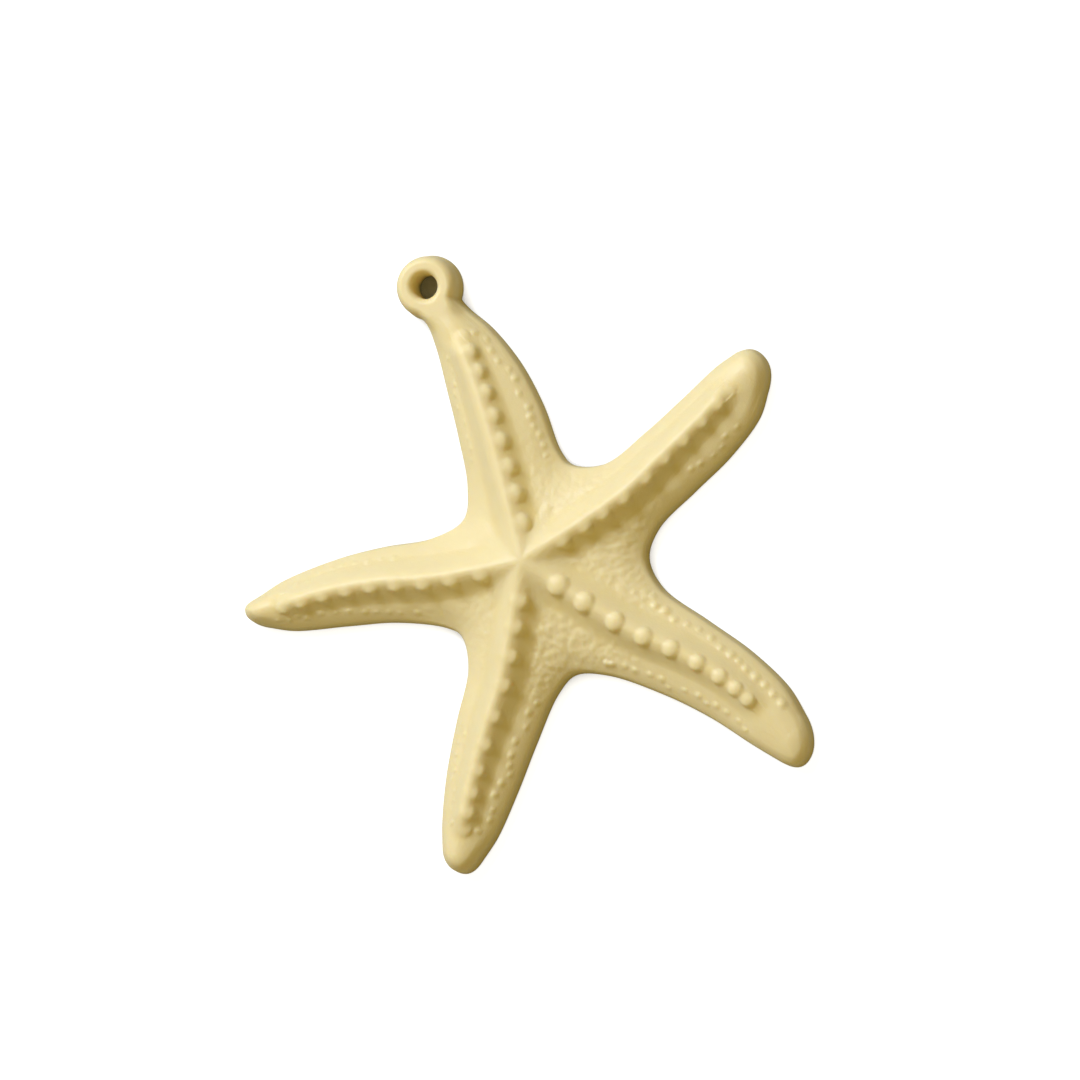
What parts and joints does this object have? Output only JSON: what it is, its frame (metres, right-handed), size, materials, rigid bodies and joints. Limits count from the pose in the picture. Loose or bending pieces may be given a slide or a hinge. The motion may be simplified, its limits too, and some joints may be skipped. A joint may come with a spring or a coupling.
{
  "type": "starfish pendant",
  "caption": "Flat-backed moulded starfish pendant: curved arms with beaded ridges and pearled edges, one arm ending in a small hanging ring.",
  "frame": {"origin": "centre of the disc, where the middle lines of the arms meet, on the flat back", "axes": "+Z out of the decorated face, +Y from the disc's centre towards the hanging ring, +X to the right when the decorated face is seen with the ring up"},
  "size_m": [0.0473, 0.0495, 0.0052],
  "materials": {
    "cream_plastic": "moulded cream-yellow resin with a matte, faintly waxy surface, deeper golden in the furrows beside the ridges and between the beads"
  },
  "bodies": {
    "root": {"starfish": "cream_plastic"}
  },
  "joints": []
}
